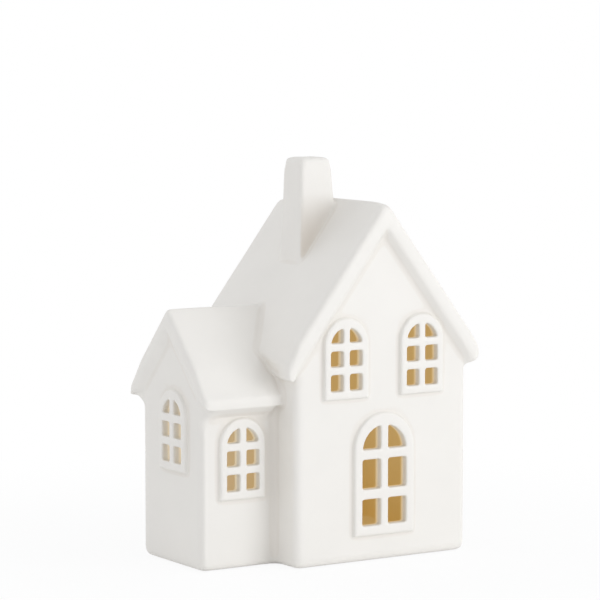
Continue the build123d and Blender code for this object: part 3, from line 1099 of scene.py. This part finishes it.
def makeSustainer():
    # Stamped disc with a pinched neck
    low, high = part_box("wick_sustainer")
    foot, top = (low.z - cupLow.z) / mm, (high.z - cupLow.z) / mm
    edge = (high.x - low.x) / 2 / mm
    neck, sheet = sustainer["neck"], sustainer["sheet"]
    profile = [(0, foot), (edge - 0.2, foot), (edge, foot + 0.15), (edge - 0.1, foot + sheet),
               (neck + 1.2, foot + sheet + 0.1), (neck + 0.4, foot + 0.9), (neck, foot + 1.6),
               (neck - 0.1, top - 0.8), (neck, top - 0.2), (neck - 0.2, top), (0, top)]

    def pinch(radius, level, angle):
        isNeck = radius < neck + 0.3 and level > foot + sustainer["pinchFrom"]
        return -sustainer["pinch"] * abs(math.cos(2 * angle)) if isNeck else 0

    return lathe("stamped_sustainer", profile, sustainer["steps"], pinch)


place(makeCup(), "tealight_cup", grainyMaterial("cupAluminium", cup["look"]))
place(makeWaxDisc(), "tealight_wax", grainyMaterial("paraffinWax", wax["look"]))
place(makeWick(), "tealight_wick", grainyMaterial("cottonWick", wick["look"]))
place(makeSustainer(), "wick_sustainer",
      grainyMaterial("sustainerSteel", sustainer["look"]))
print("tealight ready")


studio = {
    "floorSize": 6.0,
    "floorLevel": -0.0001,
    "floorSquares": 8,
    "floorColour": (0.95, 0.95, 0.95, 1),
    "floorShade": 0.1,        # how much of the floor's look comes from the light on it
    "shadeNear": 0.09,        # the floor turns to plain white between these distances
    "shadeFar": 0.3,
    "worldLight": 0.65,
    "lightColour": (0.966, 0.98, 1.0),
    "lampSize": 0.7,
    "lampAim": (0, 0, 0.08),
}
lamps = {
    "front": {"energy": 1.0, "at": (0.0, -1.188, 0.247)},
    "key": {"energy": 5.3, "at": (0.594, -1.029, 0.247)},
    "high": {"energy": 1.6, "at": (0.52, -0.3, 1.119)},
    "left": {"energy": 1.9, "at": (-1.188, 0.0, 0.247)},
    "back": {"energy": 1.45, "at": (-0.491, 0.851, 0.768)},
}
view = {
    "lens": 168,
    "sensor": 36,
    "at": (-0.64309, -1.00837, 0.22587),
    "aim": (-0.00528, -0.00710, 0.10951),
}


def makeFloor():
    size, count = studio["floorSize"] / 2, studio["floorSquares"]
    made = bmesh.new()
    grid = [[made.verts.new((-size + 2 * size * i / count, -size + 2 * size * j / count,
                             studio["floorLevel"]))
             for i in range(count + 1)] for j in range(count + 1)]
    for j in range(count):
        for i in range(count):
            made.faces.new((grid[j][i], grid[j][i + 1], grid[j + 1][i + 1], grid[j + 1][i]))
    mesh = meshFrom(made, "studio_floor")
    floor = addObject("studio_floor", mesh)
    material = bpy.data.materials.new("paleFloor")
    material.use_nodes = True
    tree = material.node_tree
    tree.nodes.clear()
    diffuse = tree.nodes.new("ShaderNodeBsdfDiffuse")
    diffuse.inputs["Color"].default_value = studio["floorColour"]
    glow = tree.nodes.new("ShaderNodeEmission")
    mix = tree.nodes.new("ShaderNodeMixShader")
    away = tree.nodes.new("ShaderNodeVectorMath")
    away.operation = "LENGTH"
    wire(tree, objectPoint(tree), away.inputs[0])
    plain = remap(tree, away.outputs["Value"], studio["shadeNear"], studio["shadeFar"],
                  1 - studio["floorShade"], 1.0, smooth=True)
    wire(tree, calc(tree, "MULTIPLY", seenDirectly(tree), plain), mix.inputs[0])
    wire(tree, diffuse.outputs[0], mix.inputs[1])
    wire(tree, glow.outputs[0], mix.inputs[2])
    output = tree.nodes.new("ShaderNodeOutputMaterial")
    wire(tree, mix.outputs[0], output.inputs["Surface"])
    mesh.materials.append(material)


def makeWorld():
    # Tinted light on the house, plain white to the eye
    world = bpy.data.worlds.new("studio")
    bpy.context.scene.world = world
    world.use_nodes = True
    tree = world.node_tree
    seen = seenDirectly(tree)
    background = tree.nodes["Background"]
    wire(tree, blendColour(tree, seen, (*studio["lightColour"], 1), (1, 1, 1, 1)),
         background.inputs["Color"])
    wire(tree, remap(tree, seen, 0.0, 1.0, studio["worldLight"], 1.0),
         background.inputs["Strength"])


def addAimed(name, data, at, aim):
    # Puts a lamp or a camera in its place and turns it toward a point
    made = bpy.data.objects.new(name, data)
    bpy.context.scene.collection.objects.link(made)
    made.location = at
    made.rotation_euler = (Vector(aim) - made.location).to_track_quat("-Z", "Y").to_euler()
    return made


def makeLamp(name, values):
    data = bpy.data.lights.new(name, "AREA")
    data.energy = values["energy"]
    data.size = studio["lampSize"]
    data.color = studio["lightColour"]
    addAimed(name, data, values["at"], studio["lampAim"])


def makeCamera():
    data = bpy.data.cameras.new("camera")
    data.lens = view["lens"]
    data.sensor_width = view["sensor"]
    bpy.context.scene.camera = addAimed("camera", data, view["at"], view["aim"])


makeFloor()
makeWorld()
for lampName, lampValues in lamps.items():
    makeLamp(lampName, lampValues)
makeCamera()
bpy.context.scene.view_settings.view_transform = "Standard"
print("studio ready")
